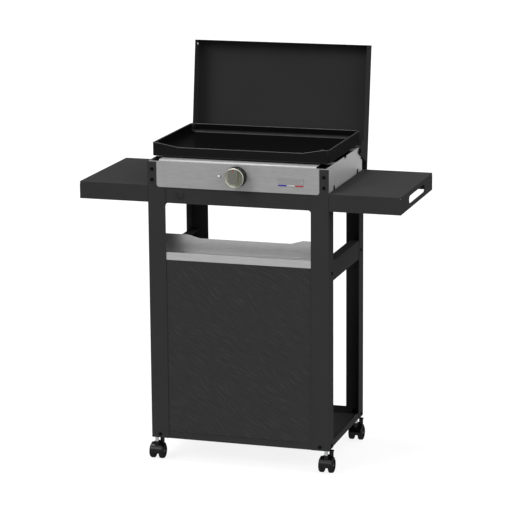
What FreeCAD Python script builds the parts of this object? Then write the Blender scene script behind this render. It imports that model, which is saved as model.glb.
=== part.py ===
import FreeCAD, Part
import math
import os
from FreeCAD import Vector

# Electric plancha grill on a trolley, in millimetres.
# X runs to the right, Y to the back, Z up from the floor.
# Until export, Y = 0 is the middle of the trolley's depth.

# Trolley
cart_width = 580.0
cart_depth = 418.0
leg_sheet = 2.0
leg_bend = 2.5
leg_face = 57.0
leg_flank = 53.0
leg_height = 806.0
tongue_width = 29.5
tongue_short = 4.5
tongue_screw_low = 23.0
tongue_screw_drop = 23.0
tongue_screw_edge = 15.0
leg_hole_drop = 110.0
leg_hole_edge = 18.0
leg_hole_radius = 3.0

crossbar_height = 49.0
crossbar_flange = 26.0
opening_corner = 9.0
plug_inset = 47.0
plug_drop = 21.0
plug_radius = 13.5
plug_neck_radius = 11.0
plug_neck = 5.0
plug_head = 2.5
plug_dome = 1.5

rail_top = 590.0
rail_height = 60.0
rail_flange = 30.0
rail_screw_edge = 34.0
rail_screw_drop = 32.0

tray_sheet = 1.5
tray_lip_height = 24.0
tray_lip_rise = 11.0
tray_lip_hem = 7.0
tray_depth = 75.0
tray_seat = 10.0
tray_back_rise = 54.5
tray_dip = 10.5
tray_dip_inset = 120.5
tray_dip_run = 38.5

panel_sheet = 1.5
panel_return = 18.0
panel_gap = 0.8

base_front_wall = 21.0
base_rear_wall = 25.0
base_side_wall = 20.0
base_screw_inset = 29.0
base_screw_height = 12.0

# Side shelves
shelf_length = 224.0
shelf_height = 55.0
shelf_rise = 6.5
shelf_sheet = 2.0
shelf_bend = 2.5
shelf_rear_inset = 2.5
shelf_slot_length = 204.0
shelf_slot_height = 24.0
shelf_slot_drop = 28.5
shelf_relief = 3.0
shelf_bolt_drop = 30.0
shelf_bolt_edge = 26.0

# Button-head screws and their nuts
screw_head_radius = 5.5
screw_head = 2.8
screw_dome = 2.0
screw_socket_radius = 2.0
screw_socket = 1.4
screw_radius = 3.0
screw_past_nut = 1.0
nut_radius = 6.5
nut_height = 4.0

# Grill chassis
chassis_inset = 5.5
chassis_height = 83.5
chassis_sheet = 1.5
chassis_ledge = 24.0
front_return = 46.0
pan_wall = 14.0
slot_width = 20.0
slot_rise = 18.0
slot_front_edge = 81.0
slot_rear_edge = 55.0
notch_edge = 189.0
notch_length = 26.0
notch_depth = 6.0
tab_length = 40.0
tab_front_edge = 70.0
tab_rear_edge = 60.0

control_sheet = 2.0
control_gap = 0.2
control_lift = 0.5
control_rise = 4.0
control_flange = 59.0
control_flange_inset = 9.0
control_corner = 9.0
control_bend = 6.0

# Controls
knob_lift = 1.0
knob_radius = 31.5
knob_depth = 35.0
knob_gap = 1.2
knob_edge = 2.0
knob_rim = 1.5
knob_bowl = 9.0
knob_grip_width = 29.0
knob_grip_below = 16.5
knob_grip_proud = 9.5
shaft_radius = 3.0
shaft_in_knob = 12.0
shaft_in_body = 20.0
shaft_end_gap = 3.0
running_gap = 0.05
thermostat_size = 44.0
thermostat_depth = 30.0
thermostat_corner = 3.0
bush_radius = 5.0
bush_proud = 0.6

lamp_place = -57.5
lamp_drop = 1.5
lamp_radius = 4.0
lamp_dome = 2.0
lamp_body = 14.0
bezel_wall = 1.6
bezel_proud = 1.5
bezel_edge = 0.6

nameplate_edge = 49.3
nameplate_drop = 8.5
nameplate_width = 80.0
nameplate_tall = 26.0
nameplate_sheet = 1.0
nameplate_screw_edge = 5.0
nameplate_screw_head_radius = 2.2
nameplate_screw_head = 1.2
nameplate_screw_dome = 0.6
nameplate_screw_radius = 1.1

gland_edge = 107.0
gland_height = 46.0
gland_radius = 10.0
gland_neck_radius = 8.0
gland_nut = 6.0
gland_cap = 10.0
gland_cap_radius = 6.5
gland_bore = 4.0

block_width = 46.0
block_depth = 24.0
block_height = 20.0
block_corner = 2.0
block_gap = 22.0
block_well_radius = 3.0
block_well_depth = 10.0
block_well_pitch = 14.0

# Cooking plate
plate_side_inset = 2.0
plate_front_inset = 25.0
plate_back_inset = 16.0
plate_rise = 50.5
plate_wall_height = 41.5
plate_wall = 5.0
plate_floor = 12.5
plate_corner = 10.0
basin_corner = 14.0
plate_fillet = 12.0
plate_lip_drop = 12.0
plate_lip_inset = 84.5
plate_lip_run = 66.0
skirt_inset = 15.5
skirt_setback = 28.0
skirt_width = 6.0

# Heating
element_radius = 4.0
element_side_inset = 72.5
element_edge = 93.5
element_runs = 4
element_drop = 34.0
clamp_width = 14.0
clamp_sheet = 2.0
clamp_foot = 10.0
clamp_inset = 84.0
shield_side_gap = 48.0
shield_edge = 41.5
shield_height = 30.0
shield_sheet = 1.0

# Lid, described closed: reach forward of its pivot and rise above it
pivot_edge = 39.0
pivot_drop = 11.5
lid_sheet = 1.5
lid_setback = 17.5
lid_over_rim = 42.5
lid_tail = 72.0
lid_flange = 55.0
lid_edge = 1.3
lid_open = 97.7
lid_rest_gap = 0.6
lid_side_gap = 0.3
ear_radius = 11.0
ear_front = 40.0
ear_rear = 38.0
tail_flange = 14.5
ear_hole_reach = 52.0
ear_hole_drop = 13.5
corner_hole_reach = 12.5
corner_hole_drop = 29.0
lid_hole_radius = 4.5
pivot_radius = 4.0
pivot_head_radius = 7.0
pivot_head = 3.5
pivot_dome = 1.5
washer_radius = 8.0
washer = 1.2
stop_radius = 3.5
stop_reach = 34.0
stop_gap = 0.3

# Casters
caster_height = 74.0
caster_inset = 12.4
caster_rear_inset = 44.0
caster_trail = 9.0
wheel_radius = 24.0
wheel_width = 15.0
wheel_round = 5.0
wheel_inner_round = 3.0
wheel_recess = 1.2
wheel_recess_radius = 14.0
wheel_gap = 0.6
axle_radius = 3.0
fork_half = 7.5
fork_radius = 10.0
hood_gap = 0.8
hood_sheet = 2.2
hood_overlap = 12.0
hood_front_drop = 3.0
hood_rear_lift = 7.0
boss_radius = 9.0
boss_rise = 6.0
boss_gap = 0.3
stem_radius = 5.5
stem_neck_radius = 4.0
stem_past_nut = 4.0
journal_radius = 3.4
journal_length = 19.0
caster_nut_radius = 7.4
caster_nut = 6.0
brake_place = 12.0
brake_pin_radius = 1.6
brake_hub_radius = 3.2
brake_gap = 0.5
brake_width = 12.0
brake_clear = 3.0
brake_pedal = 14.0
brake_pedal_sheet = 6.0
brake_pedal_round = 1.8

# Places worked out from the sizes above
half_width = cart_width / 2
front = -cart_depth / 2
back = cart_depth / 2
inner_x = half_width - leg_sheet
inner_front = front + leg_sheet
inner_back = back - leg_sheet
floor_z = caster_height
shoulder_z = floor_z + leg_height
tongue_inner = half_width - tongue_width
tongue_height = chassis_height - tongue_short
tongue_screw_high = tongue_height - tongue_screw_drop
leg_edge = half_width - leg_face
plug_place = plug_inset - leg_edge
rail_z = floor_z + rail_top
rail_inner = inner_x - rail_flange
tray_x = rail_inner + tray_seat
tray_dip_half = tray_x - tray_dip_inset
lip_top = rail_z + tray_lip_rise
lip_bottom = lip_top - tray_lip_height
shelf_top = shoulder_z + shelf_rise
shelf_bottom = shelf_top - shelf_height
shelf_end = half_width + shelf_length
shelf_back = back - shelf_rear_inset
chassis_width = cart_width - 2 * chassis_inset
chassis_x = chassis_width / 2
chassis_top = shoulder_z + chassis_height
pan_x = chassis_x - chassis_sheet
pan_top = shoulder_z + chassis_sheet
rear_face = inner_back - chassis_sheet
slot_front = inner_front + slot_front_edge
slot_rear = inner_back - slot_rear_edge
notch_place = inner_back - notch_edge - notch_length
tab_front = inner_front + tab_front_edge
tab_rear = inner_back - tab_rear_edge - tab_length
gland_place = inner_back - gland_edge
gland_z = shoulder_z + gland_height
block_front = rear_face - chassis_sheet - block_gap - block_depth
control_height = chassis_height + control_rise - control_lift
control_middle = control_lift + control_height / 2
control_z = shoulder_z + control_lift
control_top = control_z + control_height
fold_z = control_top - control_bend
control_x = tongue_inner - control_gap
control_back = front + control_sheet
knob_height = control_middle + knob_lift
knob_z = shoulder_z + knob_height
knob_front = front - knob_depth
lamp_height = control_middle - lamp_drop
nameplate_place = control_x - nameplate_edge - nameplate_width / 2
nameplate_height = control_middle - nameplate_drop
rim_z = chassis_top + plate_rise
plate_bottom = rim_z - plate_wall_height
plate_width = chassis_width - 2 * plate_side_inset
plate_x = plate_width / 2
plate_front = inner_front + plate_front_inset
plate_back = inner_back - plate_back_inset
plate_depth = plate_back - plate_front
plate_middle = (plate_front + plate_back) / 2
plate_lip_half = plate_x - plate_lip_inset
element_z = plate_bottom - element_radius
element_span = plate_width - 2 * element_side_inset
element_pitch = (plate_depth - 2 * element_edge) / (element_runs - 1)
element_end = element_span / 2
clamp_place = element_end - clamp_inset
shield_width = 2 * (pan_x - shield_side_gap)
shield_depth = plate_depth - 2 * shield_edge
element_first = plate_middle - element_pitch * (element_runs - 1) / 2
element_last = plate_middle + element_pitch * (element_runs - 1) / 2
pivot_place = inner_back - pivot_edge
pivot_height = chassis_height - pivot_drop
pivot_z = shoulder_z + pivot_height
lid_width = chassis_width + 2 * (washer + lid_side_gap + lid_sheet)
lid_x = lid_width / 2
lid_top = rim_z + lid_over_rim
lid_rise = lid_top - pivot_z
lid_front = plate_front + lid_setback
lid_reach = pivot_place - lid_front
ear_rear_rise = lid_rise - tail_flange
ear_hole_rise = lid_rise - ear_hole_drop
open_angle = math.radians(lid_open)
lid_back = pivot_place + lid_rise * math.sin(open_angle) - lid_reach * math.cos(open_angle)
stem_x = half_width - caster_inset
stem_front = front + caster_inset
stem_rear = back - caster_rear_inset
axle_z = wheel_radius
wheel_inner = fork_half + wheel_gap
wheel_outer = wheel_inner + wheel_width
hood_inner = wheel_radius + hood_gap
hood_outer = hood_inner + hood_sheet
hood_half = fork_half + hood_overlap
boss_top = axle_z + hood_outer + boss_rise
brake_top = caster_height - brake_clear
brake_z = axle_z + hood_outer + brake_hub_radius + brake_gap
origin_shift = -(knob_front - knob_grip_proud + lid_back) / 2

ALONG_X = Vector(1, 0, 0)
ALONG_Y = Vector(0, 1, 0)
ALONG_Z = Vector(0, 0, 1)
TO_FRONT = Vector(0, -1, 0)
TO_LEFT = Vector(-1, 0, 0)

nodes = {}


def box(x0, x1, y0, y1, z0, z1):
    return Part.makeBox(x1 - x0, y1 - y0, z1 - z0, Vector(x0, y0, z0))


def rod_x(radius, x0, x1, y, z):
    return Part.makeCylinder(radius, x1 - x0, Vector(x0, y, z), ALONG_X)


def rod_y(radius, x, y0, y1, z):
    return Part.makeCylinder(radius, y1 - y0, Vector(x, y0, z), ALONG_Y)


def rod_z(radius, x, y, z0, z1):
    return Part.makeCylinder(radius, z1 - z0, Vector(x, y, z0))


def join(shapes):
    first, *rest = shapes
    return first.fuse(rest).removeSplitter()


def mirror_x(shape):
    return shape.mirror(Vector(0, 0, 0), ALONG_X)


def mirror_y(shape):
    return shape.mirror(Vector(0, 0, 0), ALONG_Y)


def with_mirror(shape):
    return [shape, mirror_x(shape)]


def add_pair(name, left):
    """Keep a left piece and its mirror image as two nodes."""
    nodes[name + "_left"] = left
    nodes[name + "_right"] = mirror_x(left)


def prism(points, run):
    """Solid from a flat ring of points, drawn out along a vector."""
    return Part.Face(Part.makePolygon(points + points[:1])).extrude(run)


def revolve(outline, origin, axis, across):
    """Turn an outline of (distance along the axis, radius) points about the axis."""
    ring = [origin + axis * along + across * radius for along, radius in outline]
    return Part.Face(Part.makePolygon(ring + ring[:1])).revolve(origin, axis, 360)


def near(value, target):
    return abs(value - target) < 1e-4


def edges_along(shape, axis, test):
    """Straight edges parallel to an axis whose middle passes the test."""
    found = []
    for edge in shape.Edges:
        if len(edge.Vertexes) < 2:
            continue
        run = edge.Vertexes[1].Point - edge.Vertexes[0].Point
        straight = near(run.Length, edge.Length)
        if straight and near(run.cross(axis).Length, 0) and test(edge.CenterOfMass):
            found.append(edge)
    return found


def round_edges(shape, radius, axis, test):
    return shape.makeFillet(radius, edges_along(shape, axis, test))


def round_rim(shape, radius, axis, place):
    """Round the edges that lie in the plane at a place along an axis."""
    rim = []
    for edge in shape.Edges:
        if all(near(vertex.Point.dot(axis), place) for vertex in edge.Vertexes):
            rim.append(edge)
    return shape.makeFillet(radius, rim)


def slot_cutter(length, height, centre, depth):
    """Obround cutter through an X-facing wall, long along Y."""
    radius = height / 2
    straight = length / 2 - radius
    x0 = centre.x - depth / 2
    x1 = centre.x + depth / 2
    ends = [rod_x(radius, x0, x1, centre.y + side * straight, centre.z) for side in (-1, 1)]
    middle = box(x0, x1, centre.y - straight, centre.y + straight, centre.z - radius, centre.z + radius)
    return join([middle] + ends)


def hex_nut(radius, height, base, axis, across, bore):
    """Six-sided nut standing on a base point along an axis."""
    side = axis.cross(across)
    ring = []
    for corner in range(6):
        turn = math.radians(60 * corner)
        ring.append(base + (across * math.cos(turn) + side * math.sin(turn)) * radius)
    return prism(ring, axis * height).cut(Part.makeCylinder(bore, height, base, axis))


def domed_pin(seat, axis, head_radius, head, dome, radius, grip):
    """Round head with a rounded rim standing on its seat, and a shank behind it."""
    cap = Part.makeCylinder(head_radius, head, seat, axis)
    cap = round_rim(cap, dome, axis, seat.dot(axis) + head)
    shank = Part.makeCylinder(radius, grip, seat - axis * grip, axis)
    return join([cap, shank])


def button_screw(seat, axis, grip):
    screw = domed_pin(seat, axis, screw_head_radius, screw_head, screw_dome, screw_radius, grip)
    socket_base = seat + axis * (screw_head - screw_socket)
    return screw.cut(Part.makeCylinder(screw_socket_radius, screw_socket, socket_base, axis))


# Screw seats: a point on the outer face and the way the head points
def tongue_seats():
    seats = []
    for side in (-1, 1):
        for height in (tongue_screw_low, tongue_screw_high):
            x = side * (half_width - tongue_screw_edge)
            seats.append((Vector(x, front, shoulder_z + height), TO_FRONT))
    return seats


def rail_seats():
    seats = []
    for side in (-1, 1):
        for y in (front + rail_screw_edge, back - rail_screw_edge):
            place = Vector(side * half_width, y, rail_z - rail_screw_drop)
            seats.append((place, ALONG_X * side))
    return seats


def base_seats():
    seats = []
    z = floor_z + base_screw_height
    for side in (-1, 1):
        for end in (-1, 1):
            face = Vector(side * (half_width - base_screw_inset), end * back, z)
            flank = Vector(side * half_width, end * (back - base_screw_inset), z)
            seats.append((face, ALONG_Y * end))
            seats.append((flank, ALONG_X * side))
    return seats


def shelf_seats():
    seats = []
    z = shelf_top - shelf_bolt_drop
    for side in (-1, 1):
        for y in (front + shelf_bolt_edge, back - shelf_bolt_edge):
            seats.append((Vector(side * (half_width + shelf_sheet), y, z), ALONG_X * side))
    return seats


def drill(shape, seats, stack):
    """Clear the screws' holes through the sheets that they clamp."""
    return shape.cut([Part.makeCylinder(screw_radius, stack, seat, axis * -1) for seat, axis in seats])


def add_screws(name, seats, stack):
    """Screws of one kind, each with its nut behind the sheets that it clamps."""
    pieces = []
    for seat, axis in seats:
        pieces.append(button_screw(seat, axis, stack + nut_height + screw_past_nut))
        base = seat - axis * (stack + nut_height)
        pieces.append(hex_nut(nut_radius, nut_height, base, axis, ALONG_Z, screw_radius))
    nodes[name] = Part.makeCompound(pieces)


TONGUE_STACK = leg_sheet + chassis_sheet
FRAME_STACK = 2 * leg_sheet
SHELF_STACK = shelf_sheet + leg_sheet


def make_screws():
    add_screws("tongue_screws", tongue_seats(), TONGUE_STACK)
    add_screws("rail_screws", rail_seats(), FRAME_STACK)
    add_screws("base_screws", base_seats(), FRAME_STACK)
    add_screws("shelf_bolts", shelf_seats(), SHELF_STACK)


# Legs
def plain_leg():
    """Front left leg without its tongue: an L of bent sheet."""
    x0 = -half_width
    face = box(x0, x0 + leg_face, front, inner_front, floor_z, shoulder_z)
    flank = box(x0, -inner_x, front, front + leg_flank, floor_z, shoulder_z)
    corner = lambda p: near(p.x, x0) and near(p.y, front)
    return round_edges(join([face, flank]), leg_bend, ALONG_Z, corner)


def drill_leg(leg):
    leg = drill(leg, tongue_seats(), TONGUE_STACK)
    leg = drill(leg, rail_seats() + base_seats(), FRAME_STACK)
    return drill(leg, shelf_seats(), SHELF_STACK)


def make_legs():
    x0 = -half_width
    tongue = box(x0, x0 + tongue_width, front, inner_front, shoulder_z, shoulder_z + tongue_height)
    round_x = control_corner - tongue_inner
    round_z = shoulder_z + control_corner
    gusset = box(-tongue_inner, round_x, front, inner_front, shoulder_z, round_z)
    gusset = gusset.cut(rod_y(control_corner, round_x, front, inner_front, round_z))
    hole = rod_x(leg_hole_radius, x0, -inner_x, front + leg_hole_edge, shoulder_z - leg_hole_drop)
    front_leg = join([plain_leg(), tongue, gusset]).cut(hole)
    add_pair("leg_front", drill_leg(front_leg))
    add_pair("leg_rear", drill_leg(mirror_y(plain_leg())))


# Crossbars under the grill, and the blanking plug
def crossbar():
    """Channel behind the leg faces, with rounded corners over the opening."""
    y0 = inner_front
    y1 = y0 + leg_sheet
    z0 = shoulder_z - crossbar_height
    web = box(-inner_x, inner_x, y0, y1, z0, shoulder_z)
    top = box(-inner_x, inner_x, y0, y0 + crossbar_flange, shoulder_z - leg_sheet, shoulder_z)
    centre_x = leg_edge - opening_corner
    centre_z = z0 - opening_corner
    gusset = box(centre_x, leg_edge + opening_corner, y0, y1, centre_z, z0)
    gusset = gusset.cut(rod_y(opening_corner, centre_x, y0, y1, centre_z))
    return join([web, top] + with_mirror(gusset))


def make_crossbars():
    bar = crossbar()
    seat = Vector(plug_place, inner_front, shoulder_z - plug_drop)
    hole = rod_y(plug_neck_radius, seat.x, inner_front, inner_front + leg_sheet, seat.z)
    nodes["front_crossbar"] = bar.cut(hole)
    nodes["rear_crossbar"] = mirror_y(bar)
    plug = domed_pin(seat, TO_FRONT, plug_radius, plug_head, plug_dome, plug_neck_radius, plug_neck)
    nodes["blanking_plug"] = plug


# Side rails between the front and rear legs
def make_rails():
    x0 = -inner_x
    web = box(x0, x0 + leg_sheet, inner_front, inner_back, rail_z - rail_height, rail_z)
    top = box(x0, -rail_inner, inner_front, inner_back, rail_z - leg_sheet, rail_z)
    add_pair("side_rail", drill(join([web, top]), rail_seats(), FRAME_STACK))


# Stainless tray between the front legs, seated on the side rails
def make_tray():
    y0 = inner_front
    y1 = y0 + tray_depth
    floor = box(-tray_x, tray_x, y0, y1, rail_z, rail_z + tray_sheet)
    lip = box(-rail_inner, rail_inner, y0, y0 + tray_sheet, lip_bottom, lip_top)
    hem = box(-rail_inner, rail_inner, y0, y0 + tray_lip_hem, lip_top - tray_sheet, lip_top)
    end = box(-tray_x, tray_sheet - tray_x, y0, y1, rail_z, lip_top)
    high = rail_z + tray_back_rise
    low = high - tray_dip
    slope_end = tray_dip_half + tray_dip_run
    right = [(tray_x, rail_z), (tray_x, high), (slope_end, high), (tray_dip_half, low)]
    left = [(-x, z) for x, z in reversed(right)]
    outline = [Vector(x, y1 - tray_sheet, z) for x, z in right + left]
    wall = prism(outline, ALONG_Y * tray_sheet)
    nodes["utensil_tray"] = join([floor, lip, hem, wall] + with_mirror(end))


# Fixed front panel
def make_front_panel():
    z0 = floor_z + base_front_wall + panel_gap
    y0 = inner_front
    y1 = y0 + panel_return
    edge = rail_inner
    face = box(-edge, edge, y0, y0 + panel_sheet, z0, lip_bottom)
    top = box(-edge, edge, y0, y1, lip_bottom - panel_sheet, lip_bottom)
    bottom = box(-edge, edge, y0, y1, z0, z0 + panel_sheet)
    side = box(-edge, panel_sheet - edge, y0, y1, z0, lip_bottom)
    nodes["front_panel"] = join([face, top, bottom] + with_mirror(side))


# Bottom shelf: an upturned tray between the legs that carries the casters
def make_bottom_shelf():
    z0 = floor_z
    sheet = leg_sheet
    shelf = join([
        box(-inner_x, inner_x, inner_front, inner_back, z0, z0 + sheet),
        box(-inner_x, inner_x, inner_front, inner_front + sheet, z0, z0 + base_front_wall),
        box(-inner_x, inner_x, inner_back - sheet, inner_back, z0, z0 + base_rear_wall),
    ] + with_mirror(box(-inner_x, sheet - inner_x, inner_front, inner_back, z0, z0 + base_side_wall)))
    holes = [rod_z(stem_neck_radius, x, y, z0, z0 + sheet) for x, y in caster_spots().values()]
    nodes["bottom_shelf"] = drill(shelf.cut(holes), base_seats(), FRAME_STACK)


# Side shelves: a top and four flanges, open underneath, with a hand slot in the outer end
def make_side_shelves():
    x0 = -shelf_end
    x1 = -half_width
    shell = box(x0, x1, front, shelf_back, shelf_bottom, shelf_top)
    bends = edges_along(shell, ALONG_X, lambda p: near(p.z, shelf_top))
    bends += edges_along(shell, ALONG_Y, lambda p: near(p.z, shelf_top) and near(p.x, x0))
    shell = shell.makeFillet(shelf_bend, bends)
    sheet = shelf_sheet
    inside = box(x0 + sheet, x1 - sheet, front + sheet, shelf_back - sheet, shelf_bottom, shelf_top - sheet)
    grip = Vector(x0, (front + shelf_back) / 2, shelf_top - shelf_slot_drop)
    cuts = [inside, slot_cutter(shelf_slot_length, shelf_slot_height, grip, 2 * sheet)]
    for y in (front, shelf_back):
        cuts.append(Part.makeSphere(shelf_relief, Vector(x0, y, shelf_top - shelf_bend - shelf_relief)))
    shell = drill(shell.cut(cuts), shelf_seats(), SHELF_STACK)
    under = shelf_top - sheet
    walls = [
        box(x0, x1, front, shelf_back, under, shelf_top),
        box(x0, x0 + sheet, front, shelf_back, shelf_bottom, under),
        box(x1 - sheet, x1, front, shelf_back, shelf_bottom, under),
        box(x0 + sheet, x1 - sheet, front, front + sheet, shelf_bottom, under),
        box(x0 + sheet, x1 - sheet, shelf_back - sheet, shelf_back, shelf_bottom, under),
    ]
    pieces = []
    for wall in walls:
        pieces += shell.common(wall).Solids
    add_pair("side_shelf", Part.makeCompound(pieces))


# Grill chassis
def side_panel():
    """Left stainless wall, with the two tabs that carry the plate and a front return."""
    x0 = -chassis_x
    x1 = x0 + chassis_sheet
    wall = box(x0, x1, inner_front, inner_back, shoulder_z, chassis_top)
    leaf = box(x0, x0 + front_return, inner_front, inner_front + chassis_sheet, shoulder_z, fold_z)
    tabs = []
    for y in (tab_front, tab_rear):
        tabs.append(box(x0, x0 + chassis_ledge, y, y + tab_length, chassis_top - chassis_sheet, chassis_top))
    panel = join([wall, leaf] + tabs)
    cuts = []
    slot_radius = slot_width / 2
    arch = shoulder_z + slot_rise - slot_radius
    for y in (slot_front, slot_rear):
        cuts.append(box(x0, x1, y - slot_radius, y + slot_radius, shoulder_z, arch))
        cuts.append(rod_x(slot_radius, x0, x1, y, arch))
    notch_end = notch_place + notch_length
    cuts.append(box(x0, x1, notch_place, notch_end, chassis_top - notch_depth, chassis_top))
    cuts.append(rod_x(pivot_radius, x0, x1, pivot_place, pivot_z))
    stop = stop_place()
    cuts.append(rod_x(stop_radius, x0, x1, stop.y, stop.z))
    return drill(panel.cut(cuts), tongue_seats(), TONGUE_STACK)


def make_chassis():
    add_pair("side_panel", side_panel())
    inlet = rod_x(gland_neck_radius, -chassis_x, -pan_x, gland_place, gland_z)
    nodes["side_panel_left"] = nodes["side_panel_left"].cut(inlet)
    y0 = inner_front + chassis_sheet
    wall_top = shoulder_z + pan_wall
    nodes["base_pan"] = join([
        box(-pan_x, pan_x, y0, inner_back, shoulder_z, pan_top),
        box(-pan_x, pan_x, y0, y0 + chassis_sheet, shoulder_z, wall_top),
        box(-pan_x, pan_x, rear_face, inner_back, shoulder_z, wall_top),
    ])
    top = chassis_top - chassis_sheet
    nodes["rear_panel"] = join([
        box(-pan_x, pan_x, rear_face - chassis_sheet, rear_face, pan_top, top),
        box(-pan_x, pan_x, rear_face - chassis_ledge, rear_face, top - chassis_sheet, top),
    ])


def make_control_panel():
    """Front sheet whose top is bent back into a flange under the plate."""
    face = box(-control_x, control_x, front, control_back, control_z, fold_z)
    face = round_edges(face, control_corner, ALONG_Y, lambda p: near(p.z, control_z))
    flange_x = control_x - control_flange_inset
    flange_back = front + control_flange
    middle = shoulder_z + control_middle
    roof = control_top - control_sheet
    outside = lambda p: near(p.y, front) and near(p.z, control_top)
    inside = lambda p: near(p.y, control_back) and near(p.z, roof)
    fold = box(-flange_x, flange_x, front, flange_back, middle, control_top)
    hollow = box(-flange_x, flange_x, control_back, flange_back, middle, roof)
    fold = round_edges(fold, control_bend, ALONG_X, outside)
    hollow = round_edges(hollow, control_bend - control_sheet, ALONG_X, inside)
    panel = join([face, fold.cut(hollow)])
    holes = [
        rod_y(bush_radius, 0, front, control_back, knob_z),
        rod_y(lamp_radius, lamp_place, front, control_back, shoulder_z + lamp_height),
    ]
    for x in nameplate_screw_places():
        holes.append(rod_y(nameplate_screw_radius, x, front, control_back, shoulder_z + nameplate_height))
    nodes["control_panel"] = panel.cut(holes)


# Bare rating plate and its two screws
def nameplate_screw_places():
    reach = nameplate_width / 2 - nameplate_screw_edge
    return (nameplate_place - reach, nameplate_place + reach)


def make_nameplate():
    z = shoulder_z + nameplate_height
    half = nameplate_width / 2
    tall = nameplate_tall / 2
    face = front - nameplate_sheet
    plate = box(nameplate_place - half, nameplate_place + half, face, front, z - tall, z + tall)
    holes = [rod_y(nameplate_screw_radius, x, face, front, z) for x in nameplate_screw_places()]
    nodes["nameplate"] = plate.cut(holes)
    screws = []
    for x in nameplate_screw_places():
        screws.append(domed_pin(
            Vector(x, face, z),
            TO_FRONT,
            nameplate_screw_head_radius,
            nameplate_screw_head,
            nameplate_screw_dome,
            nameplate_screw_radius,
            nameplate_sheet + control_sheet,
        ))
    nodes["nameplate_screws"] = Part.makeCompound(screws)


# Knob on the thermostat's shaft
def knob_body():
    """Round knob with a dished front and a flat grip that rises out of the dish."""
    body = rod_y(knob_radius, 0, knob_front, front - knob_gap, knob_z)
    body = round_rim(body, knob_edge, ALONG_Y, knob_front)
    mouth = knob_radius - knob_edge - knob_rim
    ball = (mouth ** 2 + knob_bowl ** 2) / (2 * knob_bowl)
    body = body.cut(Part.makeSphere(ball, Vector(0, knob_front + knob_bowl - ball, knob_z)))
    half = knob_grip_width / 2
    y0 = knob_front - knob_grip_proud
    y1 = knob_front + knob_bowl + knob_edge
    round_z = knob_z - knob_grip_below + half
    grip = join([
        box(-half, half, y0, y1, round_z, knob_z + knob_radius),
        rod_y(half, 0, y0, y1, round_z),
    ])
    return join([body, grip.common(rod_y(knob_radius - knob_edge, 0, y0, y1, knob_z))])


def make_knob():
    shaft_tip = front - knob_gap - shaft_in_knob
    shaft_tail = control_back + shaft_in_body
    nodes["control_knob"] = knob_body().cut(rod_y(shaft_radius, 0, shaft_tip, front - knob_gap, knob_z))
    nodes["thermostat_shaft"] = rod_y(shaft_radius, 0, shaft_tip, shaft_tail, knob_z)
    half = thermostat_size / 2
    case = box(-half, half, control_back, control_back + thermostat_depth, knob_z - half, knob_z + half)
    case = round_edges(case, thermostat_corner, ALONG_Y, lambda p: True)
    bush = rod_y(bush_radius, 0, front - bush_proud, control_back, knob_z)
    tunnel = rod_y(shaft_radius + running_gap, 0, front - bush_proud, shaft_tail + shaft_end_gap, knob_z)
    nodes["thermostat"] = join([case, bush]).cut(tunnel)


# Indicator lamp: a domed lens in a round bezel
def make_lamp():
    seat = Vector(lamp_place, front, shoulder_z + lamp_height)
    outer = lamp_radius + bezel_wall
    ring = rod_y(outer, seat.x, front - bezel_proud, front, seat.z)
    ring = round_rim(ring, bezel_edge, ALONG_Y, front - bezel_proud)
    nodes["lamp_bezel"] = ring.cut(rod_y(lamp_radius, seat.x, front - bezel_proud, front, seat.z))
    tip = front - bezel_proud - lamp_dome
    stick = rod_y(lamp_radius, seat.x, tip, front + lamp_body, seat.z)
    ball = (lamp_radius ** 2 + lamp_dome ** 2) / (2 * lamp_dome)
    dome = Part.makeSphere(ball, Vector(seat.x, tip + ball, seat.z))
    barrel = rod_y(lamp_radius, seat.x, front - bezel_proud, front + lamp_body, seat.z)
    nodes["lamp_lens"] = join([stick.common(dome), barrel])


# Inlet gland in the left wall, clear of the lid's swing, and the terminal block inside
def make_electrics():
    outline = [
        (-chassis_sheet - gland_nut, gland_bore),
        (-chassis_sheet - gland_nut, gland_radius),
        (-chassis_sheet, gland_radius),
        (-chassis_sheet, gland_neck_radius),
        (0, gland_neck_radius),
        (0, gland_radius),
        (gland_nut, gland_radius),
        (gland_nut + gland_cap, gland_cap_radius),
        (gland_nut + gland_cap, gland_bore),
    ]
    seat = Vector(-chassis_x, gland_place, gland_z)
    nodes["cable_gland"] = revolve(outline, seat, TO_LEFT, ALONG_Z)
    half = block_width / 2
    top = pan_top + block_height
    block = box(-half, half, block_front, block_front + block_depth, pan_top, top)
    block = round_edges(block, block_corner, ALONG_Z, lambda p: True)
    wells = []
    for place in (-1, 0, 1):
        y = block_front + block_depth / 2
        wells.append(rod_z(block_well_radius, place * block_well_pitch, y, top - block_well_depth, top))
    nodes["terminal_block"] = block.cut(wells)


# Cooking plate: a cast basin with a lowered front lip, standing on an inset skirt
def make_plate():
    body = box(-plate_x, plate_x, plate_front, plate_back, plate_bottom, rim_z)
    body = round_edges(body, plate_corner, ALONG_Z, lambda p: True)
    floor_top = plate_bottom + plate_floor
    wall = plate_wall
    basin = box(wall - plate_x, plate_x - wall, plate_front + wall, plate_back - wall, floor_top, rim_z)
    basin = round_edges(basin, basin_corner, ALONG_Z, lambda p: True)
    basin = round_rim(basin, plate_fillet, ALONG_Z, floor_top)
    low = rim_z - plate_lip_drop
    slope_end = plate_lip_half + plate_lip_run
    outline = [(-slope_end, rim_z), (-plate_lip_half, low), (plate_lip_half, low), (slope_end, rim_z)]
    dip = prism([Vector(x, plate_front, z) for x, z in outline], ALONG_Y * wall)
    skirt = ring_wall(skirt_inset).cut(ring_wall(skirt_inset + skirt_width))
    nodes["griddle_plate"] = join([body.cut([basin, dip]), skirt])


def ring_wall(inset):
    """Block under the plate, set in from its outline and back from its front, down to the chassis."""
    y0 = plate_front + skirt_setback + inset
    y1 = plate_back - inset
    return box(inset - plate_x, plate_x - inset, y0, y1, chassis_top, plate_bottom)


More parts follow.
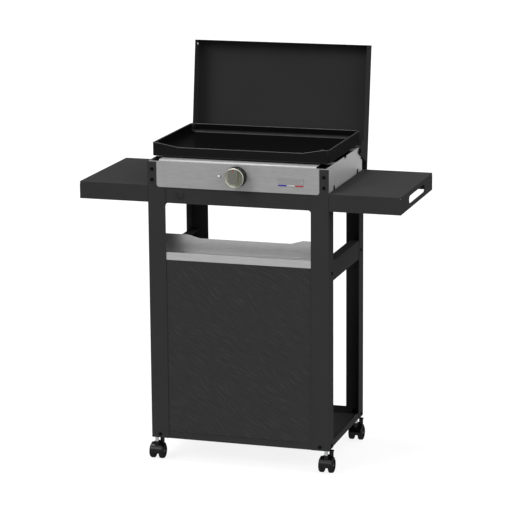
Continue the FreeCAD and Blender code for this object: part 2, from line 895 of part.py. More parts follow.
# Heating element under the plate, its clamps and the heat shield
def element_path():
    """Runs along X joined by half circles."""
    turn = element_pitch / 2
    edges = []
    for run in range(element_runs):
        y = element_first + run * element_pitch
        way = 1 if run % 2 == 0 else -1
        start = Vector(-way * element_end, y, element_z)
        end = Vector(way * element_end, y, element_z)
        edges.append(Part.LineSegment(start, end).toShape())
        if run < element_runs - 1:
            middle = Vector(way * (element_end + turn), y + turn, element_z)
            after = Vector(way * element_end, y + element_pitch, element_z)
            edges.append(Part.Arc(end, middle, after).toShape())
    return Part.Wire(edges)


def make_element():
    start = Vector(-element_end, element_first, element_z)
    profile = Part.Wire(Part.Circle(start, ALONG_X, element_radius).toShape())
    pieces = [element_path().makePipeShell([profile], True, False)]
    end_x = -element_end if element_runs % 2 == 0 else element_end
    for x, y in ((-element_end, element_first), (end_x, element_last)):
        pieces.append(Part.makeSphere(element_radius, Vector(x, y, element_z)))
        pieces.append(rod_z(element_radius, x, y, element_z - element_drop, element_z))
    nodes["heating_element"] = join(pieces)


def element_clamp(x, y):
    """Saddle under the element, with feet against the plate."""
    x0 = x - clamp_width / 2
    x1 = x + clamp_width / 2
    outer = element_radius + clamp_sheet
    foot = outer + clamp_foot
    below_plate = box(x0, x1, y - foot, y + foot, element_z - outer, plate_bottom)
    saddle = join([
        rod_x(outer, x0, x1, y, element_z).common(below_plate),
        box(x0, x1, y - outer, y + outer, element_z, plate_bottom),
        box(x0, x1, y - foot, y + foot, plate_bottom - clamp_sheet, plate_bottom),
    ])
    tunnel = join([
        rod_x(element_radius, x0, x1, y, element_z),
        box(x0, x1, y - element_radius, y + element_radius, element_z, plate_bottom),
    ])
    return saddle.cut(tunnel)


def make_heating():
    make_element()
    clamps = []
    for x in (-clamp_place, clamp_place):
        for y in (element_first, element_last):
            clamps.append(element_clamp(x, y))
    nodes["element_clamps"] = Part.makeCompound(clamps)
    x1 = shield_width / 2
    y0 = plate_middle - shield_depth / 2
    y1 = plate_middle + shield_depth / 2
    top = pan_top + shield_height
    deck = box(-x1, x1, y0, y1, top - shield_sheet, top)
    foot = box(-x1, shield_sheet - x1, y0, y1, pan_top, top)
    nodes["heat_shield"] = join([deck] + with_mirror(foot))


# Lid, built closed and then swung open about its pivots
def lid_point(reach, rise):
    return (pivot_place - reach, pivot_z + rise)


def opened(shape):
    turned = shape.copy()
    turned.rotate(Vector(0, pivot_place, pivot_z), ALONG_X, -lid_open)
    return turned


def stop_place():
    """Centre of a stop pin, just below the rear edge of an ear when the lid is open."""
    along = Vector(0, ear_rear - ear_radius, ear_rear_rise).normalize()
    outward = along.cross(ALONG_X)
    foot = Vector(0, pivot_place + ear_radius, pivot_z)
    closed = foot + along * stop_reach + outward * (stop_radius + stop_gap)
    return opened(Part.Vertex(closed)).Point


def lid_cheek():
    """Left side flange of the closed lid, running down into the ear at the pivot."""
    x0 = -lid_x
    x1 = lid_sheet - lid_x
    flange_low = lid_rise - lid_flange
    outline = [
        lid_point(lid_reach, lid_rise),
        lid_point(lid_reach, flange_low),
        lid_point(ear_front, flange_low),
        lid_point(ear_radius, 0),
        lid_point(-ear_radius, 0),
        lid_point(-ear_rear, ear_rear_rise),
        lid_point(-lid_tail, ear_rear_rise),
        lid_point(-lid_tail, lid_rise),
    ]
    flat = prism([Vector(x0, y, z) for y, z in outline], ALONG_X * lid_sheet)
    cheek = join([flat, rod_x(ear_radius, x0, x1, pivot_place, pivot_z)])
    cuts = [rod_x(pivot_radius + running_gap, x0, x1, pivot_place, pivot_z)]
    for y, z in (
        lid_point(ear_hole_reach, ear_hole_rise),
        lid_point(lid_reach - corner_hole_reach, lid_rise - corner_hole_drop),
    ):
        cuts.append(rod_x(lid_hole_radius, x0, x1, y, z))
    return cheek.cut(cuts)


def make_lid():
    tail = pivot_place + lid_tail
    under = rim_z + lid_rest_gap
    top = box(-lid_x, lid_x, lid_front, tail, lid_top - lid_sheet, lid_top)
    face = box(-lid_x, lid_x, lid_front, lid_front + lid_sheet, under, lid_top)
    lid = join([top, face] + with_mirror(lid_cheek()))
    bends = edges_along(lid, ALONG_Y, lambda p: near(p.z, lid_top))
    bends += edges_along(lid, ALONG_X, lambda p: near(p.z, lid_top) and near(p.y, lid_front))
    nodes["lid"] = opened(lid.makeFillet(lid_edge, bends))


def make_lid_pivots():
    bolts = []
    washers = []
    stops = []
    stop = stop_place()
    past_panel = lid_x + lid_side_gap - pan_x
    for side in (-1, 1):
        axis = ALONG_X * side
        seat = Vector(side * (lid_x + lid_side_gap), pivot_place, pivot_z)
        grip = past_panel + nut_height + screw_past_nut
        bolts.append(domed_pin(seat, axis, pivot_head_radius, pivot_head, pivot_dome, pivot_radius, grip))
        base = seat - axis * (past_panel + nut_height)
        bolts.append(hex_nut(pivot_head_radius, nut_height, base, axis, ALONG_Z, pivot_radius))
        face = Vector(side * chassis_x, pivot_place, pivot_z)
        ring = Part.makeCylinder(washer_radius, washer, face, axis)
        washers.append(ring.cut(Part.makeCylinder(pivot_radius, washer, face, axis)))
        inside = Vector(side * pan_x, stop.y, stop.z)
        stops.append(Part.makeCylinder(stop_radius, lid_x - pan_x, inside, axis))
    nodes["lid_pivots"] = Part.makeCompound(bolts)
    nodes["lid_washers"] = Part.makeCompound(washers)
    nodes["lid_stops"] = Part.makeCompound(stops)


# Casters, modelled with their stem over the origin and then moved
def caster_spots():
    spots = {}
    for end, y in (("front", stem_front), ("rear", stem_rear)):
        for side, x in (("left", -stem_x), ("right", stem_x)):
            spots["caster_" + end + "_" + side] = (x, y)
    return spots


def caster_stem():
    neck_top = caster_height + leg_sheet + caster_nut + stem_past_nut
    return join([
        rod_z(journal_radius, 0, 0, boss_top - journal_length, boss_top + boss_gap),
        rod_z(stem_radius, 0, 0, boss_top + boss_gap, caster_height),
        rod_z(stem_neck_radius, 0, 0, caster_height, neck_top),
    ])


def caster_hood():
    """Fork between the wheels, a fender over both, the stem's boss and the brake's lug."""
    y = caster_trail
    fork = rod_x(fork_radius, -fork_half, fork_half, y, axle_z)
    under = rod_x(hood_inner, -hood_half, hood_half, y, axle_z)
    over = rod_x(hood_outer, -hood_half, hood_half, y, axle_z)
    covered = join([
        box(-hood_half, hood_half, y - hood_outer, y, axle_z - hood_front_drop, axle_z + hood_outer),
        box(-hood_half, hood_half, y, y + hood_outer, axle_z + hood_rear_lift, axle_z + hood_outer),
    ])
    fender = over.cut(under).common(covered)
    spine = rod_x(hood_outer, -fork_half, fork_half, y, axle_z).common(covered)
    boss = rod_z(boss_radius, 0, 0, axle_z, boss_top).cut(under)
    low = axle_z + hood_inner
    lug_y0 = brake_place - brake_hub_radius
    lug_y1 = brake_place + brake_hub_radius
    lug = box(-fork_half, fork_half, lug_y0, lug_y1, low, brake_z)
    eye = rod_x(brake_hub_radius, -fork_half, fork_half, brake_place, brake_z)
    hood = join([fork, fender, spine, boss, lug, eye])
    return hood.cut([
        rod_z(journal_radius + running_gap, 0, 0, boss_top - journal_length - boss_gap, boss_top),
        rod_x(axle_radius + running_gap, -fork_half, fork_half, y, axle_z),
        rod_x(brake_pin_radius + running_gap, -fork_half, fork_half, brake_place, brake_z),
    ])


def caster_wheel():
    """Right wheel: rounded tread, a shallow round recess outside, a bore for the axle."""
    wheel = rod_x(wheel_radius, wheel_inner, wheel_outer, caster_trail, axle_z)
    wheel = round_rim(wheel, wheel_round, ALONG_X, wheel_outer)
    wheel = round_rim(wheel, wheel_inner_round, ALONG_X, wheel_inner)
    dish = rod_x(wheel_recess_radius, wheel_outer - wheel_recess, wheel_outer, caster_trail, axle_z)
    bore = rod_x(axle_radius, wheel_inner, wheel_outer, caster_trail, axle_z)
    return wheel.cut([dish, bore])


def caster_axle():
    reach = wheel_outer - wheel_recess
    return rod_x(axle_radius, -reach, reach, caster_trail, axle_z)


def caster_brake():
    """Lever beside the fork: pin, hub, upright and a foot pedal."""
    x0 = fork_half + brake_gap
    x1 = x0 + brake_width
    y0 = brake_place - brake_hub_radius
    y1 = brake_place + brake_hub_radius
    pin = rod_x(brake_pin_radius, -fork_half, x0, brake_place, brake_z)
    hub = rod_x(brake_hub_radius, x0, x1, brake_place, brake_z)
    upright = box(x0, x1, y0, y1, brake_z, brake_top - brake_pedal_sheet / 2)
    pedal = box(x0, x1, y0, y0 + brake_pedal, brake_top - brake_pedal_sheet, brake_top)
    pedal = pedal.makeFillet(brake_pedal_round, pedal.Edges)
    return join([pin, hub, upright, pedal])


def make_casters():
    pieces = {
        "hood": caster_hood(),
        "wheels": Part.makeCompound(with_mirror(caster_wheel())),
        "axle": caster_axle(),
        "brake": caster_brake(),
    }
    stems = []
    nuts = []
    for label, (x, y) in caster_spots().items():
        for piece, shape in pieces.items():
            nodes[label + "_" + piece] = shape.translated(Vector(x, y, 0))
        stems.append(caster_stem().translated(Vector(x, y, 0)))
        seat = Vector(x, y, caster_height + leg_sheet)
        nuts.append(hex_nut(caster_nut_radius, caster_nut, seat, ALONG_Z, ALONG_X, stem_neck_radius))
    nodes["caster_stems"] = Part.makeCompound(stems)
    nodes["caster_nuts"] = Part.makeCompound(nuts)


def show(label, *values):
    print(label, *[round(value, 3) for value in values])


make_legs()
make_crossbars()
make_rails()
make_tray()
make_front_panel()
make_bottom_shelf()
make_side_shelves()
make_screws()
make_chassis()
make_control_panel()
make_nameplate()
make_knob()
make_lamp()
make_electrics()
make_plate()
make_heating()
make_lid()
make_lid_pivots()
make_casters()

os.makedirs("parts", exist_ok=True)
for name, shape in nodes.items():
    shape.translated(Vector(0, origin_shift, 0)).exportStep("parts/" + name + ".step")

show("nodes", len(nodes))
show("shift of Y to the origin", origin_shift)
show("lid pivot Y Z", pivot_place + origin_shift, pivot_z)
show("knob axis Z", knob_z)
show("caster stems X Y Y", stem_x, origin_shift + stem_front, origin_shift + stem_rear)
show("axle behind its stem and height", caster_trail, axle_z)
show("brake pin behind its stem and height", brake_place, brake_z)
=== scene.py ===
import math

import bmesh
import bpy
from mathutils import Matrix, Vector


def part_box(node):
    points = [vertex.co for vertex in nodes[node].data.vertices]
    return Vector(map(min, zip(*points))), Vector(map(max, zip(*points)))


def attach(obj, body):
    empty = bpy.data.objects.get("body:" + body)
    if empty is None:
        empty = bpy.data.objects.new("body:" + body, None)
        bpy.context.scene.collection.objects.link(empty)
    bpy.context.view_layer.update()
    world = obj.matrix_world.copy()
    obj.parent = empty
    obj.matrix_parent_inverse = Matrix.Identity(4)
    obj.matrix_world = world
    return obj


# Electric plancha grill on a trolley: finishes, small trim, light and camera, in metres.
# X runs to the right, Y to the back, Z up from the floor.

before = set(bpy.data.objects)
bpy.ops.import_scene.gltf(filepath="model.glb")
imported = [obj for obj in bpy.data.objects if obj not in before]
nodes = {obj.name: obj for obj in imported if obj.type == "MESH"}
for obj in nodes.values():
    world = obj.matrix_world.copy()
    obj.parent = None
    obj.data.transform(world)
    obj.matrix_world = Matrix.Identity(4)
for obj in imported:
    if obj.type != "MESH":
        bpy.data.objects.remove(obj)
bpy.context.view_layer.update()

MM = 0.001
# How far the knob's grip stands out of its bright rim
GRIP_PROUD = 9.5 * MM
# Widths of the rounded edges on the cast plate and on bent sheet
PLATE_EDGE = 1.6 * MM
SHEET_EDGE = 0.5 * MM

# A high index keeps a thin gloss nearly the same from straight ahead to a grazing look
EVEN_GLOSS = 4.0
FULL_RANGE = (0.0, 1.0)
# Most values of a noise lie in the first range, and those of a noise with strong detail in the second
NOISE_RANGE = (0.3, 0.7)
LINE_RANGE = (0.25, 0.75)
# The normal's Y where the knob's metal starts to count as its flat face, which is painted darker as painted
# shade, and where it fully does
FACE_RANGE = (-0.97, -0.995)
# Features per metre: grain of a powder coat, streaks under it (along, through, across), brush lines (X, Y, Z)
COAT_GRAIN = 1400.0
COAT_STREAKS = (17.0, 17.0, 420.0)
BRUSH_LINES = (22.0, 900.0, 900.0)

# Lamps: azimuth from the front and elevation in degrees, share of white, softness in degrees
LAMPS = {
    "key": (-40.0, 35.0, 0.42, 30.0),
    "fill": (65.0, 25.0, 0.43, 70.0),
    "top": (-90.0, 73.0, 0.44, 16.0),
    "back": (150.0, 30.0, 0.26, 60.0),
}
# A card above the camera that only glossy surfaces mirror
CARD = (-6.0, 54.0, 0.36, 46.0)
# White level that the world gives things from all round
AMBIENT = 0.35
FLOOR_LEVEL = 0.20
FLOOR_GLOW = 0.86


# Colours
def grey(level):
    return (level, level, level)


def scaled(color, factor):
    return tuple(factor * part for part in color)


# Small helpers for node trees
def new_finish(name, color, roughness, metallic=0.0, specular=0.5, gloss=0.0, gloss_roughness=0.3):
    """A material with its shader set to plain values, which the caller then details."""
    finish = bpy.data.materials.new(name)
    finish.use_nodes = True
    shader = finish.node_tree.nodes["Principled BSDF"]
    shader.inputs["Base Color"].default_value = (*color, 1.0)
    shader.inputs["Roughness"].default_value = roughness
    shader.inputs["Metallic"].default_value = metallic
    shader.inputs["Specular IOR Level"].default_value = specular
    shader.inputs["Coat Weight"].default_value = gloss
    shader.inputs["Coat Roughness"].default_value = gloss_roughness
    shader.inputs["Coat IOR"].default_value = EVEN_GLOSS
    return finish, finish.node_tree, shader


def coated_finish(name, color, roughness, gloss):
    """A material whose only shine is a thin gloss of its own roughness."""
    return new_finish(name, color, roughness, specular=0.0, gloss=gloss, gloss_roughness=roughness)


def object_space(tree, scale=(1.0, 1.0, 1.0), slant=0.0):
    """Object coordinates, turned about Y by a slant in degrees, then stretched."""
    place = tree.nodes.new("ShaderNodeTexCoord")
    turned = tree.nodes.new("ShaderNodeMapping")
    turned.inputs["Rotation"].default_value = (0.0, math.radians(slant), 0.0)
    stretched = tree.nodes.new("ShaderNodeMapping")
    stretched.inputs["Scale"].default_value = scale
    tree.links.new(place.outputs["Object"], turned.inputs["Vector"])
    tree.links.new(turned.outputs["Vector"], stretched.inputs["Vector"])
    return stretched.outputs["Vector"]


def noise(tree, vector, scale, detail=2.0, roughness=0.5):
    texture = tree.nodes.new("ShaderNodeTexNoise")
    texture.inputs["Scale"].default_value = scale
    texture.inputs["Detail"].default_value = detail
    texture.inputs["Roughness"].default_value = roughness
    tree.links.new(vector, texture.inputs["Vector"])
    return texture.outputs["Fac"]


def spread(tree, value, low, high, source=FULL_RANGE):
    """Map a value from the source range to low..high."""
    ranged = tree.nodes.new("ShaderNodeMapRange")
    ranged.inputs["From Min"].default_value = source[0]
    ranged.inputs["From Max"].default_value = source[1]
    ranged.inputs["To Min"].default_value = low
    ranged.inputs["To Max"].default_value = high
    tree.links.new(value, ranged.inputs["Value"])
    return ranged.outputs["Result"]


def math_node(tree, operation, first, second):
    """Combine two values, each a socket or a plain number."""
    node = tree.nodes.new("ShaderNodeMath")
    node.operation = operation
    for socket, value in zip(node.inputs, (first, second)):
        if isinstance(value, (int, float)):
            socket.default_value = value
        else:
            tree.links.new(value, socket)
    return node.outputs["Value"]


def blend_colors(tree, factor, first, second):
    """Mix two plain colours by a socket."""
    mix = tree.nodes.new("ShaderNodeMix")
    mix.data_type = "RGBA"
    tree.links.new(factor, mix.inputs["Factor"])
    # Sockets 6 and 7 are the two colours, and output 2 is their mix
    mix.inputs[6].default_value = (*first, 1.0)
    mix.inputs[7].default_value = (*second, 1.0)
    return mix.outputs[2]


def mottle(tree, shader, pattern, dark, light, source=NOISE_RANGE):
    """Run the base colour from dark to light with a pattern."""
    color = blend_colors(tree, spread(tree, pattern, 0.0, 1.0, source), dark, light)
    tree.links.new(color, shader.inputs["Base Color"])


def vary_roughness(tree, shader, pattern, roughness, less, more, source=NOISE_RANGE):
    """Let a pattern take the roughness a little below and above its value."""
    uneven = spread(tree, pattern, roughness - less, roughness + more, source)
    tree.links.new(uneven, shader.inputs["Roughness"])


def add_bump(tree, shader, height, strength, distance):
    bump = tree.nodes.new("ShaderNodeBump")
    bump.inputs["Strength"].default_value = strength
    bump.inputs["Distance"].default_value = distance
    tree.links.new(height, bump.inputs["Height"])
    tree.links.new(bump.outputs["Normal"], shader.inputs["Normal"])


# Finishes
def powder_coat(name, level, roughness, gloss):
    """Fine-grained matt coat: tiny grains, and a slow drift of tone."""
    finish, tree, shader = coated_finish(name, grey(level), roughness, gloss)
    place = object_space(tree)
    grain = noise(tree, place, COAT_GRAIN, detail=3.0)
    drift = spread(tree, noise(tree, place, scale=9.0), low=0.975, high=1.025, source=NOISE_RANGE)
    grains = spread(tree, grain, low=0.93, high=1.07, source=NOISE_RANGE)
    tone = math_node(tree, "MULTIPLY", drift, grains)
    lit = math_node(tree, "MULTIPLY", tone, level)
    color = tree.nodes.new("ShaderNodeCombineColor")
    for channel in color.inputs:
        tree.links.new(lit, channel)
    tree.links.new(color.outputs["Color"], shader.inputs["Base Color"])
    vary_roughness(tree, shader, grain, roughness, less=0.06, more=0.08)
    add_bump(tree, shader, grain, strength=0.12, distance=0.4 * MM)
    return finish


def slanted_streaks(tree, slant):
    """Thin streaks at a slant in degrees, with bare sheet between them."""
    lines = noise(tree, object_space(tree, COAT_STREAKS, slant), scale=1.0, detail=3.0, roughness=0.6)
    return spread(tree, lines, 0.0, 1.0, source=(0.52, 0.72))


def streaked_coat(name, level, streak_level, roughness, gloss):
    """Powder coat over sheet that was brushed aslant: faint streaks from upper left to lower right."""
    finish, tree, shader = coated_finish(name, grey(level), roughness, gloss)
    place = object_space(tree)
    swath = noise(tree, place, scale=5.0)
    swath_range = (0.42, 0.58)
    faint_share = 0.25
    flat_share = spread(tree, swath, faint_share, 1.0, swath_range)
    steep_share = spread(tree, swath, 1.0, faint_share, swath_range)
    flat = math_node(tree, "MULTIPLY", slanted_streaks(tree, slant=-27.0), flat_share)
    steep = math_node(tree, "MULTIPLY", slanted_streaks(tree, slant=-45.0), steep_share)
    streaks = math_node(tree, "MAXIMUM", flat, steep)
    color = blend_colors(tree, streaks, grey(level), grey(streak_level))
    tree.links.new(color, shader.inputs["Base Color"])
    grain = noise(tree, place, COAT_GRAIN, detail=3.0)
    vary_roughness(tree, shader, grain, roughness, less=0.06, more=0.08)
    streak_relief = 0.8
    height = math_node(tree, "ADD", grain, math_node(tree, "MULTIPLY", streaks, streak_relief))
    add_bump(tree, shader, height, strength=0.12, distance=0.4 * MM)
    return finish


def brushed_metal(name, color, roughness, metallic, contrast=0.16):
    """Metal with fine brush lines along X and a cloudy mottle, matt where the brush has opened it."""
    finish, tree, shader = new_finish(name, color, roughness, metallic, specular=0.2)
    lines = noise(tree, object_space(tree, scale=BRUSH_LINES), scale=1.0, detail=4.0, roughness=0.7)
    cloud = noise(tree, object_space(tree), scale=45.0, detail=3.0)
    clouded = spread(tree, cloud, low=0.975, high=1.025, source=NOISE_RANGE)
    tone = math_node(tree, "ADD", spread(tree, lines, -contrast, contrast, LINE_RANGE), clouded)
    darkest = 0.5
    lightest = 1.5
    shades = (scaled(color, darkest), scaled(color, lightest))
    mottle(tree, shader, tone, *shades, source=(darkest, lightest))
    vary_roughness(tree, shader, lines, roughness, less=0.07, more=0.09, source=LINE_RANGE)
    add_bump(tree, shader, lines, strength=0.06, distance=0.2 * MM)
    return finish


def plain_metal(name, color, roughness, grain_scale=260.0):
    """Zinc, plain steel or satin plating: soft spangle and uneven gloss."""
    finish, tree, shader = new_finish(name, color, roughness, metallic=1.0)
    spangle = noise(tree, object_space(tree), grain_scale, detail=3.0)
    mottle(tree, shader, spangle, dark=scaled(color, 0.86), light=scaled(color, 1.12))
    vary_roughness(tree, shader, spangle, roughness, less=0.05, more=0.07)
    add_bump(tree, shader, spangle, strength=0.04, distance=0.2 * MM)
    return finish


def turned_metal(name, polished, satin_with_painted_shade, roughness):
    """Plated metal, bright where it curves and satin on the flat face towards the front, whose colour is also
    painted darker as painted shade in place of a darker reflection.
    """
    finish, tree, shader = new_finish(name, polished, roughness, metallic=1.0)
    place = tree.nodes.new("ShaderNodeTexCoord")
    normal = tree.nodes.new("ShaderNodeSeparateXYZ")
    tree.links.new(place.outputs["Normal"], normal.inputs["Vector"])
    flat = spread(tree, normal.outputs["Y"], 0.0, 1.0, FACE_RANGE)
    grain = noise(tree, place.outputs["Object"], scale=500.0, detail=3.0)
    uneven = spread(tree, grain, low=0.92, high=1.08, source=NOISE_RANGE)
    shade = tree.nodes.new("ShaderNodeVectorMath")
    shade.operation = "SCALE"
    # The flat face takes a much darker colour: painted shade standing in for a darker reflection
    tree.links.new(blend_colors(tree, flat, polished, satin_with_painted_shade), shade.inputs["Vector"])
    tree.links.new(uneven, shade.inputs["Scale"])
    tree.links.new(shade.outputs["Vector"], shader.inputs["Base Color"])
    satin_roughness = 1.4 * roughness
    matt = math_node(tree, "MULTIPLY", spread(tree, flat, roughness, satin_roughness), uneven)
    tree.links.new(matt, shader.inputs["Roughness"])
    add_bump(tree, shader, grain, strength=0.04, distance=0.2 * MM)
    return finish


def moulded_plastic(name, color, roughness, gloss, grain_scale=900.0, relief=0.08):
    """Moulded plastic or a plain lacquer with a fine spark texture."""
    finish, tree, shader = coated_finish(name, color, roughness, gloss)
    place = object_space(tree)
    grain = noise(tree, place, grain_scale)
    drift = noise(tree, place, scale=30.0)
    mottle(tree, shader, drift, dark=scaled(color, 0.85), light=scaled(color, 1.15))
    vary_roughness(tree, shader, grain, roughness, less=0.05, more=0.07)
    add_bump(tree, shader, grain, strength=relief, distance=0.3 * MM)
    return finish


def enamel(name, level, roughness, gloss):
    """Black enamel on cast iron: a gentle orange peel under a thin gloss."""
    finish, tree, shader = coated_finish(name, grey(level), roughness, gloss)
    place = object_space(tree)
    peel = noise(tree, place, scale=170.0)
    cast = noise(tree, place, scale=900.0, detail=3.0)
    mottle(tree, shader, cast, dark=grey(0.8 * level), light=grey(1.3 * level))
    vary_roughness(tree, shader, peel, roughness, less=0.06, more=0.08)
    cast_relief = 0.15
    height = math_node(tree, "ADD", peel, math_node(tree, "MULTIPLY", cast, cast_relief))
    add_bump(tree, shader, height, strength=0.07, distance=0.6 * MM)
    return finish


def lens(name):
    """Frosted white lens of the indicator lamp."""
    finish, tree, shader = new_finish(name, grey(0.93), roughness=0.18, specular=0.6)
    frost = noise(tree, object_space(tree), scale=1500.0)
    mottle(tree, shader, frost, dark=grey(0.9), light=grey(0.96))
    add_bump(tree, shader, frost, strength=0.05, distance=0.2 * MM)
    return finish


FINISHES = {
    "cart_coat": powder_coat("cart_coat", level=0.040, roughness=0.65, gloss=0.010),
    "front_panel_coat": streaked_coat(
        "front_panel_coat", level=0.039, streak_level=0.068, roughness=0.62, gloss=0.010
    ),
    "lid_coat": powder_coat("lid_coat", level=0.033, roughness=0.62, gloss=0.008),
    "black_screws": moulded_plastic("black_screws", grey(0.004), roughness=0.35, gloss=0.010),
    "stainless": brushed_metal("stainless", grey(0.35), roughness=0.45, metallic=0.30),
    "galvanised": plain_metal("galvanised", (0.37, 0.38, 0.39), roughness=0.34, grain_scale=180.0),
    "enamel": enamel("enamel", level=0.004, roughness=0.24, gloss=0.018),
    "element_sheath": plain_metal("element_sheath", (0.12, 0.11, 0.10), roughness=0.48),
    "knob_metal": turned_metal(
        # The satin colour of the flat face is painted shade, far darker than the polished metal
        "knob_metal", polished=(0.38, 0.38, 0.335), satin_with_painted_shade=(0.135, 0.135, 0.12), roughness=0.30
    ),
    "nameplate": brushed_metal("nameplate", grey(0.30), roughness=0.36, metallic=0.4, contrast=0.08),
    "lamp": lens("lamp"),
    "black_plastic": moulded_plastic("black_plastic", grey(0.034), roughness=0.5, gloss=0.012),
    "caster_plastic": moulded_plastic(
        "caster_plastic", grey(0.004), roughness=0.22, gloss=0.034, grain_scale=300.0, relief=0.04
    ),
    "caster_axle": plain_metal("caster_axle", grey(0.03), roughness=0.34),
}

# Nodes that differ from the rest of their slot: the tray is brighter sheet metal,
# and the pan is painted near black, a painted shade for the dark inside that shows through the slots of the
# side panels
NODE_FINISHES = {
    "utensil_tray": brushed_metal("tray_stainless", grey(0.38), roughness=0.38, metallic=0.85),
    "base_pan": powder_coat("pan_painted_shade", level=0.005, roughness=0.6, gloss=0.004),
}


def dress_nodes():
    """Give each solid the finish of its slot, in place of the plain one it came with."""
    for node in nodes.values():
        slot = node.material_slots[0]
        slot.material = FINISHES[slot.material.name.split(".")[0]]
    for name, finish in NODE_FINISHES.items():
        nodes[name].material_slots[0].material = finish


# Small trim that the photograph shows on the knob and the rating plate
def new_piece(name, mesh, finish, body):
    """Link a mesh as a piece with its finish, riding on a body."""
    piece = bpy.data.objects.new(name, mesh)
    bpy.context.scene.collection.objects.link(piece)
    mesh.materials.append(finish)
    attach(piece, body)


def mesh_from(name, shape, smooth_angle):
    """Finish a bmesh as a mesh that is smooth up to an angle in degrees."""
    mesh = bpy.data.meshes.new(name)
    bmesh.ops.recalc_face_normals(shape, faces=shape.faces)
    shape.to_mesh(mesh)
    shape.free()
    mesh.shade_smooth()
    mesh.set_sharp_from_angle(angle=math.radians(smooth_angle))
    return mesh


def slab(name, low, high, edge):
    """A thin bar between two corners, with eased edges."""
    shape = bmesh.new()
    bmesh.ops.create_cube(shape, size=1.0)
    size = Vector(high) - Vector(low)
    bmesh.ops.scale(shape, vec=size, verts=shape.verts)
    bmesh.ops.translate(shape, vec=(Vector(low) + Vector(high)) / 2, verts=shape.verts)
    bmesh.ops.bevel(shape, geom=shape.edges[:], offset=edge, segments=2, affect="EDGES", profile=0.5)
    return mesh_from(name, shape, smooth_angle=30.0)


def make_knob_sleeve():
    """Fluted black sleeve round the side of the knob, behind its bright rim."""
    low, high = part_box("control_knob")
    middle_x = (low.x + high.x) / 2
    middle_z = (low.z + high.z) / 2
    radius = (high.x - low.x) / 2
    flutes = 54
    steps = 4 * flutes
    flute_depth = 0.35 * MM
    rim_width = 3.2 * MM
    rim = GRIP_PROUD + rim_width
    ease = 0.6 * MM
    skin = 0.25 * MM
    wall = 0.6 * MM
    # Rings of the sleeve: place along the knob, reach from its middle, depth of the flutes
    rows = [
        (low.y + rim, radius - wall, 0.0),
        (low.y + rim, radius + skin - ease / 2, 0.0),
        (low.y + rim + ease, radius + skin, flute_depth),
        (high.y - ease, radius + skin, flute_depth),
        (high.y, radius + skin - ease / 2, 0.0),
        (high.y, radius - wall, 0.0),
    ]
    shape = bmesh.new()
    rings = []
    for y, reach, depth in rows:
        ring = []
        for step in range(steps):
            turn = 2 * math.pi * step / steps
            out = reach + depth * math.cos(flutes * turn)
            x = middle_x + out * math.cos(turn)
            z = middle_z + out * math.sin(turn)
            ring.append(shape.verts.new((x, y, z)))
        rings.append(ring)
    for first, second in zip(rings, rings[1:] + rings[:1]):
        for step in range(steps):
            after = (step + 1) % steps
            shape.faces.new((first[step], first[after], second[after], second[step]))
    mesh = mesh_from("knob_sleeve", shape, smooth_angle=40.0)
    rubber = moulded_plastic("sleeve_black", grey(0.008), roughness=0.45, gloss=0.015)
    new_piece("knob_sleeve", mesh, rubber, "knob")


def make_knob_pointer():
    """Red mark at the top of the knob's grip."""
    low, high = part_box("control_knob")
    middle_x = (low.x + high.x) / 2
    middle_z = (low.z + high.z) / 2
    half_width = 1.1 * MM
    inner_reach = 21.0 * MM
    outer_reach = 29.0 * MM
    proud = 0.25 * MM
    sunk = 0.4 * MM
    corner = (middle_x - half_width, low.y - proud, middle_z + inner_reach)
    opposite = (middle_x + half_width, low.y + sunk, middle_z + outer_reach)
    mesh = slab("knob_pointer", corner, opposite, edge=0.15 * MM)
    paint = moulded_plastic("pointer_red", (0.45, 0.02, 0.02), roughness=0.4, gloss=0.02)
    new_piece("knob_pointer", mesh, paint, "knob")


def make_plate_stripe():
    """Plain three-colour stripe along the foot of the bare rating plate."""
    low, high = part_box("nameplate")
    tall = 4.0 * MM
    margin = 0.4 * MM
    proud = 0.2 * MM
    sunk = 0.3 * MM
    colors = (
        ("stripe_blue", (0.035, 0.035, 0.36)),
        ("stripe_white", (0.62, 0.62, 0.62)),
        ("stripe_red", (0.48, 0.035, 0.035)),
    )
    width = (high.x - low.x - 2 * margin) / len(colors)
    for place, (name, color) in enumerate(colors):
        left = low.x + margin + place * width
        corner = (left, low.y - proud, low.z + margin)
        opposite = (left + width, low.y + sunk, low.z + margin + tall)
        mesh = slab(name, corner, opposite, edge=0.12 * MM)
        paint = moulded_plastic(name, color, roughness=0.4, gloss=0.02)
        new_piece(name, mesh, paint, "frame")


def ease_edges(name, width, finish):
    """Round the hard edges of a solid, which keeps its own mesh, and give the rounding the given finish,
    which the callers make lighter than the solid as a painted highlight along the edges.
    """
    solid = nodes[name]
    solid.data.materials.append(finish)
    weld = solid.modifiers.new("weld", "WELD")
    weld.merge_threshold = 0.01 * MM
    bevel = solid.modifiers.new("bevel", "BEVEL")
    bevel.width = width
    bevel.segments = 3
    bevel.limit_method = "ANGLE"
    bevel.angle_limit = math.radians(40.0)
    bevel.use_clamp_overlap = False
    bevel.harden_normals = True
    bevel.material = len(solid.data.materials) - 1


# Stage
def seen_directly(tree):
    """1 for what the camera sees directly, mirrored or through glass, and 0 for light on things."""
    path = tree.nodes.new("ShaderNodeLightPath")
    mirrored = math_node(tree, "MAXIMUM", path.outputs["Is Glossy Ray"], path.outputs["Is Transmission Ray"])
    return math_node(tree, "MAXIMUM", path.outputs["Is Camera Ray"], mirrored)


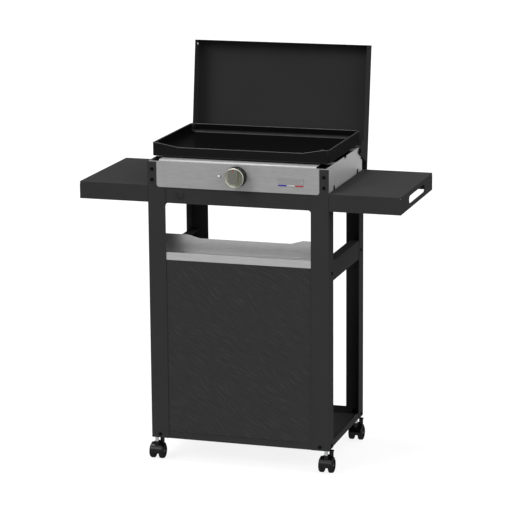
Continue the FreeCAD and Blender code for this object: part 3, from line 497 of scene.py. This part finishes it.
def make_floor():
    """Wide pale floor that takes shadows, and glows where it is seen, so that it comes out white."""
    size = 60.0
    mesh = bpy.data.meshes.new("floor")
    corners = [(-size, -size, 0.0), (size, -size, 0.0), (size, size, 0.0), (-size, size, 0.0)]
    mesh.from_pydata(corners, [], [(0, 1, 2, 3)])
    floor = bpy.data.objects.new("floor", mesh)
    bpy.context.scene.collection.objects.link(floor)
    paper = bpy.data.materials.new("floor_paper")
    paper.use_nodes = True
    tree = paper.node_tree
    tree.nodes.clear()
    out = tree.nodes.new("ShaderNodeOutputMaterial")
    both = tree.nodes.new("ShaderNodeAddShader")
    matt = tree.nodes.new("ShaderNodeBsdfDiffuse")
    matt.inputs["Color"].default_value = (*grey(FLOOR_LEVEL), 1.0)
    glow = tree.nodes.new("ShaderNodeEmission")
    tree.links.new(math_node(tree, "MULTIPLY", seen_directly(tree), FLOOR_GLOW), glow.inputs["Strength"])
    tree.links.new(matt.outputs["BSDF"], both.inputs[0])
    tree.links.new(glow.outputs["Emission"], both.inputs[1])
    tree.links.new(both.outputs["Shader"], out.inputs["Surface"])
    mesh.materials.append(paper)


def make_world():
    """White where it is seen, and a dimmer even light on things."""
    world = bpy.data.worlds.new("studio")
    bpy.context.scene.world = world
    world.use_nodes = True
    tree = world.node_tree
    background = tree.nodes["Background"]
    background.inputs["Color"].default_value = (1.0, 1.0, 1.0, 1.0)
    tree.links.new(spread(tree, seen_directly(tree), AMBIENT, 1.0), background.inputs["Strength"])


def toward(azimuth, elevation):
    """Direction from the object to a place at an azimuth from the front and an elevation, in degrees."""
    a = math.radians(azimuth)
    e = math.radians(elevation)
    return Vector((math.sin(a) * math.cos(e), -math.cos(a) * math.cos(e), math.sin(e)))


def add_sun(name, azimuth, elevation, share, softness):
    """A soft lamp. Share is the white level that it alone gives a surface that faces it."""
    data = bpy.data.lights.new(name, "SUN")
    data.energy = share * math.pi
    data.angle = math.radians(softness)
    lamp = bpy.data.objects.new(name, data)
    bpy.context.scene.collection.objects.link(lamp)
    lamp.rotation_euler = toward(azimuth, elevation).to_track_quat("Z", "Y").to_euler()
    return lamp


def make_lamps():
    """Soft lamps all round, and the card."""
    for name, settings in LAMPS.items():
        add_sun(name, *settings)
    card = add_sun("card", *CARD)
    card.visible_diffuse = False


def make_camera():
    """The photograph's camera, measured from the middle of the feet of the legs."""
    azimuth = 17.2518
    elevation = 12.7691
    roll = math.radians(-0.4434)
    distance = 7.6197
    slide = -0.0100
    lift = 0.5435
    focal_pixels = 2374.74
    frame_pixels = 512.0
    low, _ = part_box("leg_front_left")
    _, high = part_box("leg_rear_right")
    feet = Vector(((low.x + high.x) / 2, (low.y + high.y) / 2, low.z))
    back = toward(azimuth, elevation)
    right = (-back).cross(Vector((0.0, 0.0, 1.0))).normalized()
    up = right.cross(-back)
    turned_right = math.cos(roll) * right + math.sin(roll) * up
    turned_up = math.cos(roll) * up - math.sin(roll) * right
    data = bpy.data.cameras.new("camera")
    data.sensor_width = 36.0
    data.lens = focal_pixels * data.sensor_width / frame_pixels
    data.clip_start = 0.1
    data.clip_end = 200.0
    camera = bpy.data.objects.new("camera", data)
    bpy.context.scene.collection.objects.link(camera)
    axes = Matrix((turned_right, turned_up, back)).transposed()
    place = feet + distance * back + slide * turned_right + lift * turned_up
    camera.matrix_world = Matrix.Translation(place) @ axes.to_4x4()
    bpy.context.scene.camera = camera


dress_nodes()
make_knob_sleeve()
make_knob_pointer()
make_plate_stripe()
# The plate's rounded rim gets a far lighter enamel: a painted highlight along its edges
ease_edges("griddle_plate", PLATE_EDGE, enamel("enamel_painted_highlight_edge", level=0.05, roughness=0.3, gloss=0.05))
# A lighter finish on the rounded edges of the tray and the control panel: a painted highlight
painted_highlight_edge = brushed_metal("painted_highlight_edge", grey(0.40), roughness=0.4, metallic=0.4, contrast=0.08)
for name in ("utensil_tray", "control_panel"):
    ease_edges(name, SHEET_EDGE, painted_highlight_edge)
make_floor()
make_world()
make_lamps()
make_camera()
bpy.context.scene.view_settings.view_transform = "Standard"
